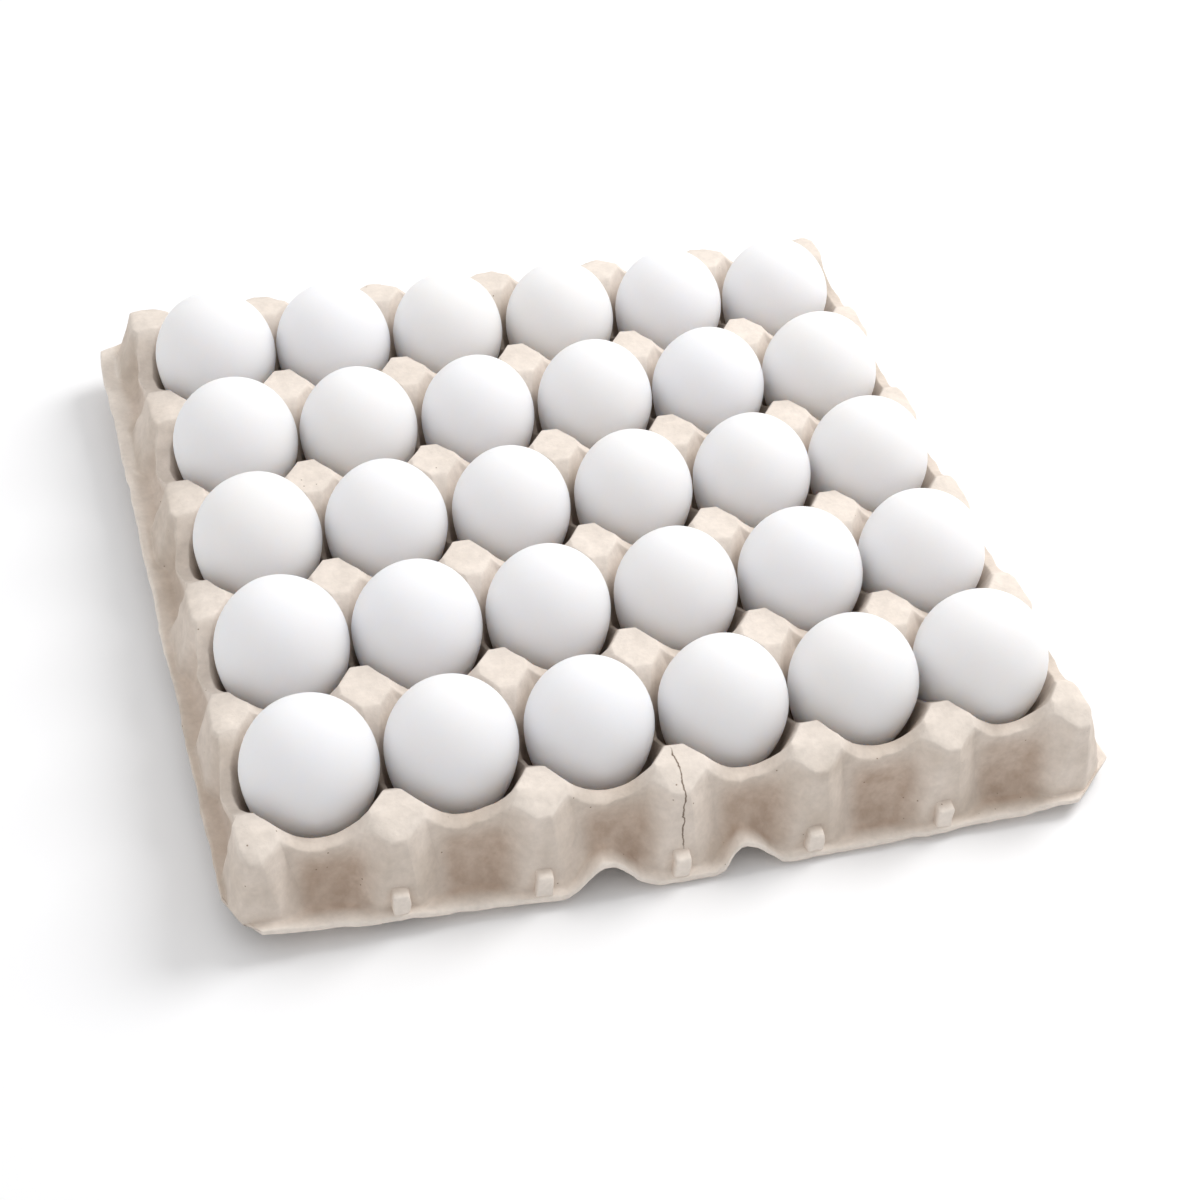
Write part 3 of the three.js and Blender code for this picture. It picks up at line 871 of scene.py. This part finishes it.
# The crack lies a little left of the post's middle and wanders. It starts between these distances
# to the front, on the post's top, and ends between these heights, at its lug.
CRACK_AT = -1.2
CRACK_WANDER = 3.0
CRACK_REACH = 4.0
CRACK_BACK = (127, 129)
CRACK_FOOT = (13, 15)


def painted_shade_share(points):
    """How much shade is painted on the pulp as a warmer brown, from 0 to 1: the product of smooth
    steps away from the posts, the top edge and the rim in a bay, and of smooth steps down and
    inwards in a cup."""
    x, y, z = points.T
    on_long = np.abs(y) > np.abs(x)
    from_post = np.where(
        on_long,
        HALF_X - np.abs((x - BAY_SHIFT * (y < 0)) % CELL_X - HALF_X),
        HALF_Y - np.abs((y - POST_LINE) % CELL_Y - HALF_Y),
    )
    out = from_post_line(points)
    on_wall = smooth_step(out, *BAY_FROM_LINE) * smooth_step(out, *BAY_FROM_RIM)
    bay = smooth_step(from_post, *BAY_FROM_POST) * smooth_step(z, *BAY_FROM_TOP) * on_wall
    cup = CUP_SHARE * smooth_step(z, *CUP_FROM_TOP) * smooth_step(out, *CUP_FROM_LINE)
    return np.maximum(bay * np.where(on_long, 1, SHORT_BAY_SHARE), cup)


def painted_highlight_share(points):
    """How much highlight is painted on the pulp as a paler colour, from 0 to 1: on the tops of the
    posts and along the edge of the rim."""
    top = HIGHLIGHT_TOP_SHARE * smooth_step(points[:, 2], *HIGHLIGHT_HEIGHTS)
    return np.maximum(top, smooth_step(from_post_line(points), *HIGHLIGHT_RIM))


def crack_share(points):
    """Where the crack is: over the top and the face of the middle post at the front."""
    x, y, z = points.T
    return (np.abs(x) < CRACK_REACH) * smooth_step(-y, *CRACK_BACK) * smooth_step(z, *CRACK_FOOT)


pulp, tree = new_material("moulded_paper_pulp")
place = add_node(tree, "ShaderNodeTexCoord").outputs["Object"]
in_mm = add_node(
    tree, "ShaderNodeVectorMath", {0: place, "Scale": 1 / MM}, operation="SCALE"
).outputs[0]
shares = {
    name: add_node(tree, "ShaderNodeAttribute", attribute_name=name).outputs["Fac"]
    for name in ("hollow", "painted_highlight", "crack")
}
fields = {}
for name, size, detail in (
    ("blotch", BLOTCH_MM, 3), ("patch", PATCH_MM, 4), ("felt", FELT_MM, 3), ("fibre", FIBRE_MM, 2)
):
    fields[name] = add_node(
        tree,
        "ShaderNodeTexNoise",
        {"Vector": in_mm, "Scale": 1 / size, "Detail": detail, "Roughness": 0.55},
    ).outputs["Fac"]

# The thicker and thinner fibre, then the painted shade of the hollows, which is uneven, and the
# painted highlight on the tops and the rim
shares["blotch"] = add_node(
    tree,
    "ShaderNodeMapRange",
    {"Value": fields["blotch"], "From Min": 0.32, "From Max": 0.68},
).outputs[0]
uneven = add_node(
    tree,
    "ShaderNodeMapRange",
    {"Value": fields["patch"], "From Min": 0.35, "From Max": 0.65, "To Min": 1.0, "To Max": 0.7},
).outputs[0]
shares["hollow"] = add_node(
    tree,
    "ShaderNodeMath",
    {0: shares["hollow"], 1: uneven},
    operation="MULTIPLY",
    use_clamp=True,
).outputs[0]
colour = hex_to_linear(PULP_DARK)
for name, paint in (("blotch", PULP_LIGHT), ("hollow", PULP_PAINTED_SHADE), ("painted_highlight", PULP_PAINTED_HIGHLIGHT)):
    colour = add_node(
        tree,
        "ShaderNodeMix",
        {"Factor": shares[name], 6: colour, 7: hex_to_linear(paint)},
        data_type="RGBA",
    ).outputs[2]
for name, dark, light in (("patch", 0.93, 1.05), ("felt", 0.96, 1.03)):
    shade = add_node(
        tree,
        "ShaderNodeMapRange",
        {"Value": fields[name], "From Min": 0.3, "From Max": 0.7, "To Min": dark, "To Max": light},
    ).outputs[0]
    colour = add_node(
        tree, "ShaderNodeVectorMath", {0: colour, "Scale": shade}, operation="SCALE"
    ).outputs[0]

# A fleck is a dot in the middle of those few cells whose random value is high
cells = add_node(
    tree, "ShaderNodeTexVoronoi", {"Vector": in_mm, "Scale": 1 / FLECK_MM, "Randomness": 1.0}
).outputs
dot = add_node(
    tree,
    "ShaderNodeMapRange",
    {"Value": cells["Distance"], "From Min": 0.05, "From Max": 0.11, "To Min": 1, "To Max": 0},
).outputs[0]
chosen = add_node(
    tree, "ShaderNodeMath", {0: cells["Color"], 1: FLECK_ABOVE}, operation="GREATER_THAN"
).outputs[0]
shares["fleck"] = add_node(
    tree, "ShaderNodeMath", {0: dot, 1: chosen}, operation="MULTIPLY"
).outputs[0]

# The crack is a thin line along Y that wanders in X with the unevenness of the sheet
across = add_node(tree, "ShaderNodeSeparateXYZ", {0: in_mm}).outputs["X"]
wander = add_node(
    tree,
    "ShaderNodeMath",
    {0: fields["patch"], 1: CRACK_WANDER, 2: CRACK_AT - CRACK_WANDER / 2},
    operation="MULTIPLY_ADD",
).outputs[0]
aside = add_node(tree, "ShaderNodeMath", {0: across, 1: wander}, operation="SUBTRACT").outputs[0]
aside = add_node(tree, "ShaderNodeMath", {0: aside}, operation="ABSOLUTE").outputs[0]
line = add_node(
    tree,
    "ShaderNodeMapRange",
    {"Value": aside, "From Min": 0.05, "From Max": 0.36, "To Min": 1, "To Max": 0},
).outputs[0]
shares["crack"] = add_node(
    tree, "ShaderNodeMath", {0: line, 1: shares["crack"]}, operation="MULTIPLY"
).outputs[0]
for name, paint in (("fleck", PULP_FLECK), ("crack", PULP_CRACK)):
    colour = add_node(
        tree,
        "ShaderNodeMix",
        {"Factor": shares[name], 6: colour, 7: hex_to_linear(paint)},
        data_type="RGBA",
    ).outputs[2]

relief = None
for name, depth, strength in (
    ("patch", PATCH_RELIEF, 0.7), ("felt", FELT_RELIEF, 0.7), ("fibre", FIBRE_RELIEF, 0.6)
):
    below = {} if relief is None else {"Normal": relief}
    relief = add_node(
        tree,
        "ShaderNodeBump",
        {"Height": fields[name], "Distance": depth, "Strength": strength, **below},
    ).outputs[0]
shader = add_node(
    tree,
    "ShaderNodeBsdfPrincipled",
    {"Base Color": colour, "Roughness": 0.95, "Specular IOR Level": 0.2, "Normal": relief},
)
add_node(tree, "ShaderNodeOutputMaterial", {"Surface": shader.outputs[0]})

tray = new_piece("pulp_tray", tray_points, tray_quads.tolist() + tray_triangles.tolist(), pulp)
# The shares of the painted shade and of the painted highlight, and that of the crack, are kept on the
# tray's points.
for name, find_share in (
    ("hollow", painted_shade_share), ("painted_highlight", painted_highlight_share), ("crack", crack_share)
):
    attribute = tray.data.attributes.new(name, "FLOAT", "POINT")
    attribute.data.foreach_set("value", find_share(tray_points).astype(np.float32))
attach(tray, "root")
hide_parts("tray")


# The eggs
# Thirty white hen's eggs, each standing point down in its cup. A shell is chalk, a third of a
# millimetre thick, laid on in one go, so it is matt, very smooth and pitted with fine pores.

# The widths are by rows from the front and columns from the left. The lengths, down and up from
# the widest ring, are those of an egg of the mean width, and go with the root of the width. An
# egg stands a gap clear of its cup, and its shell is lumpy by a tenth of a millimetre.
EGG_WIDTHS = (
    (43.7, 42.8, 42.2, 42.6, 43.1, 45.0),
    (44.6, 43.6, 42.6, 42.6, 43.4, 44.2),
    (44.3, 43.0, 42.1, 42.6, 43.0, 44.0),
    (44.8, 43.2, 42.3, 43.2, 42.8, 44.0),
    (45.0, 43.6, 42.6, 42.3, 42.4, 42.2),
)
EGG_MEAN_WIDTH = 43.2
EGG_LOWER_LENGTH = 31.7
EGG_UPPER_LENGTH = 24.4
EGG_TAPER = 0.06
EGG_GAP = 0.4
EGG_LINES = 44
EGG_POINTS = 72
LUMP_SIZE = 24
LUMP_DEPTH = 0.1
LUMP_WAVES = 8
LUMP_SEED = 100


def seat_height(width, lower_length):
    """The height of an egg's widest ring where its lower half stands the gap clear of the cone
    of its cup: the cone's slope times the reach of a half ellipse along the cone's normal."""
    slope = (UPPER["knee"] - UPPER["floor"]) / (UPPER["knee_radius"] - UPPER["floor_radius"])
    reach = math.hypot(width / 2 * slope, lower_length)
    return reach - slope * UPPER["floor_radius"] + UPPER["floor"] + EGG_GAP * math.hypot(slope, 1)


def egg_surface(width, lower_length, upper_length):
    """Two half ellipses turned about the axis and joined at the widest ring: the radius is half
    the width times the cosine of the latitude, less the taper's share of it times the sine below
    the ring. The height is the half's length times the sine."""
    latitude = np.linspace(-math.pi / 2, math.pi / 2, EGG_LINES)[1:-1, None]
    angle = (np.arange(EGG_POINTS) * 2 * math.pi / EGG_POINTS)[None, :]
    down = np.clip(-np.sin(latitude), 0, 1)
    radius = width / 2 * np.cos(latitude) * (1 - EGG_TAPER * down)
    length = np.where(latitude < 0, lower_length, upper_length)
    height = length * np.sin(latitude) * np.ones_like(angle)
    ring = np.stack([radius * np.cos(angle), radius * np.sin(angle), height], 2).reshape(-1, 3)
    return np.concatenate([ring, [[0, 0, -lower_length], [0, 0, upper_length]]])


def egg_faces():
    """The quads between the rings of an egg, and the triangles round its two ends."""
    rings = EGG_LINES - 2
    quads = grid_quads(rings, EGG_POINTS)
    first = np.arange(EGG_POINTS)
    last = first + (rings - 1) * EGG_POINTS
    point, blunt = rings * EGG_POINTS, rings * EGG_POINTS + 1
    lower_fan = np.stack([np.roll(first, -1), first, np.full(EGG_POINTS, point)], 1)
    upper_fan = np.stack([last, np.roll(last, -1), np.full(EGG_POINTS, blunt)], 1)
    return quads.tolist() + lower_fan.tolist() + upper_fan.tolist()


# Eggshell is chalk that lets light a good way in, which evens out its shade, and it has a very
# faint gloss. Each egg is a little whiter or creamier, in soft clouds, with pores and dimples.
# The pores are finer than this in truth, too fine to show.
SHELL_WHITE = "#ededf0"
SHELL_CREAM = "#edebea"
CREAM_MOST = 0.8
CREAM_SEED = 30
CLOUD_MM = 30.0
DIMPLE_MM = 7.0
PORE_MM = 0.9
DIMPLE_RELIEF = 0.12 * MM
PORE_RELIEF = 0.02 * MM
LIGHT_REACH = 25 * MM

shell, tree = new_material("white_hen_eggshell")
place = add_node(tree, "ShaderNodeTexCoord").outputs["Object"]
in_mm = add_node(
    tree, "ShaderNodeVectorMath", {0: place, "Scale": 1 / MM}, operation="SCALE"
).outputs[0]
fields = {
    name: add_node(
        tree, "ShaderNodeTexNoise", {"Vector": in_mm, "Scale": 1 / size, "Detail": detail}
    ).outputs["Fac"]
    for name, size, detail in (
        ("cloud", CLOUD_MM, 2), ("dimple", DIMPLE_MM, 1), ("pore", PORE_MM, 2)
    )
}
tint = add_node(tree, "ShaderNodeAttribute", attribute_name="tint").outputs["Fac"]
cloud = add_node(
    tree,
    "ShaderNodeMapRange",
    {
        "Value": fields["cloud"],
        "From Min": 0.35,
        "From Max": 0.65,
        "To Min": -0.15,
        "To Max": 0.15,
    },
).outputs[0]
tint = add_node(
    tree, "ShaderNodeMath", {0: tint, 1: cloud}, operation="ADD", use_clamp=True
).outputs[0]
colour = add_node(
    tree,
    "ShaderNodeMix",
    {"Factor": tint, 6: hex_to_linear(SHELL_WHITE), 7: hex_to_linear(SHELL_CREAM)},
    data_type="RGBA",
).outputs[2]
relief = None
for name, depth in (("dimple", DIMPLE_RELIEF), ("pore", PORE_RELIEF)):
    below = {} if relief is None else {"Normal": relief}
    relief = add_node(
        tree,
        "ShaderNodeBump",
        {"Height": fields[name], "Distance": depth, "Strength": 0.6, **below},
    ).outputs[0]
shader = add_node(
    tree,
    "ShaderNodeBsdfPrincipled",
    {
        "Base Color": colour,
        "Roughness": 0.6,
        "Specular IOR Level": 0.12,
        "Subsurface Weight": 1.0,
        "Subsurface Scale": LIGHT_REACH,
        "Subsurface Radius": (1.0, 0.9, 0.82),
        "Normal": relief,
    },
)
add_node(tree, "ShaderNodeOutputMaterial", {"Surface": shader.outputs[0]})

draw = np.random.default_rng(CREAM_SEED)
faces = egg_faces()
for row, widths in enumerate(EGG_WIDTHS):
    for column, width in enumerate(widths):
        size = math.sqrt(width / EGG_MEAN_WIDTH)
        lower_length = EGG_LOWER_LENGTH * size
        points = egg_surface(width, lower_length, EGG_UPPER_LENGTH * size)
        lump = ripples(points, LUMP_SIZE, LUMP_WAVES, LUMP_SEED + row * COLUMNS + column)
        away = points / np.linalg.norm(points, axis=1)[:, None]
        points = points + away * (LUMP_DEPTH * lump)[:, None]
        points = points + cup_middle(column, row, seat_height(width, lower_length))
        egg = new_piece(f"hen_egg_{row + 1}_{column + 1}", points, faces, shell)
        tints = egg.data.attributes.new("tint", "FLOAT", "POINT")
        cream = draw.uniform(0, CREAM_MOST)
        tints.data.foreach_set("value", np.full(len(points), cream, np.float32))
        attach(egg, "root")
        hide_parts(f"egg_{row + 1}_{column + 1}")
